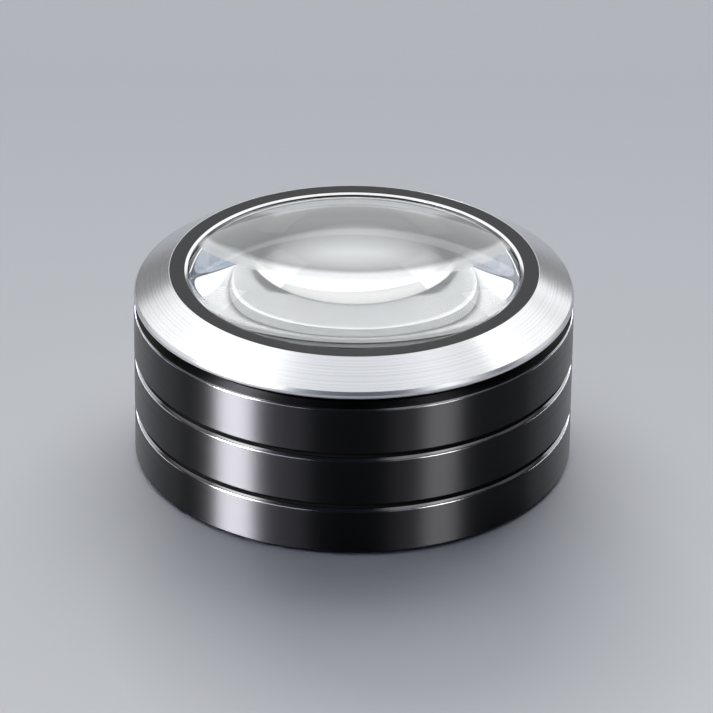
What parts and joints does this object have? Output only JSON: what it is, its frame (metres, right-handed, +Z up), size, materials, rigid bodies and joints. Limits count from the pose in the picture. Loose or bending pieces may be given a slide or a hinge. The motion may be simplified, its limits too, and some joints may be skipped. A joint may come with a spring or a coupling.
{
  "type": "desktop stand magnifier",
  "caption": "Round desk magnifier: clear domed lens in a turned silver bezel on a grooved black case; pressing the head down works the reading light, the bottom cover twists off.",
  "frame": {"origin": "centre of the face the foot ring rests on", "axes": "+Z up along the optical axis; X and Y across the round case, which is the same from every side on the outside"},
  "size_m": [0.085, 0.085, 0.0455],
  "materials": {
    "anodised_black": "black anodised over fine circumferential turning, satin gloss",
    "bare_aluminium": "bare aluminium, fine concentric turning lines",
    "trim_matte_black": "matte black paint",
    "lens_clear": "polished clear crown glass",
    "reflector_satin": "spun aluminium, satin bright",
    "rubber_black": "matte rubber",
    "plastic_black": "moulded, matte",
    "ptfe_white": "waxy white",
    "steel_bright": "bright steel",
    "spring_steel": "drawn spring wire",
    "board_white": "white solder mask on glass-fibre board",
    "led_body": "white moulded body with yellow phosphor window",
    "chip_black": "black chip body with tinned ends",
    "cell_nickel": "nickel plated, fine radial brushing",
    "contact_nickel": "nickel plated phosphor bronze strip",
    "wire_red": "insulated hook-up wire"
  },
  "bodies": {
    "base": {"case_body": "anodised_black", "screw_bushings": "ptfe_white", "inner_reflector": "reflector_satin", "reflector_screws": "steel_bright", "led_board": "board_white", "led_emitters": "led_body", "led_resistors": "chip_black", "battery_carrier": "plastic_black", "carrier_screws": "steel_bright", "coin_cells": "cell_nickel", "cell_contacts_inner": "contact_nickel", "cell_contacts_outer": "contact_nickel", "hookup_wires": "wire_red", "switch_housing": "plastic_black", "return_springs": "spring_steel"},
    "cover": {"base_cover": "anodised_black", "foot_pad": "rubber_black"},
    "head": {"bezel": "bare_aluminium", "guide_skirt": "anodised_black", "glide_band": "ptfe_white", "shoulder_screws": "steel_bright", "trim_ring": "trim_matte_black", "lens": "lens_clear", "lens_gasket": "rubber_black"},
    "plunger": {"switch_plunger": "plastic_black"}
  },
  "joints": [
    {"name": "head_press", "type": "slide", "parent": "base", "child": "head", "axis": [0, 0, -1], "range_m": [0, 0.00115], "stiffness_N_per_m": 1200, "springref_m": -0.002, "deforming": ["return_springs"]},
    {"name": "plunger_press", "type": "slide", "parent": "base", "child": "plunger", "axis": [0, 0, -1], "range_m": [0, 0.00115]},
    {"name": "cover_turn", "type": "hinge", "parent": "base", "child": "cover", "pos_m": [0, 0, 0], "axis": [0, 0, 1], "range_deg": [0, 25]}
  ],
  "couplings": [
    {"joint": "plunger_press", "follows": "head_press", "ratio": 1}
  ]
}
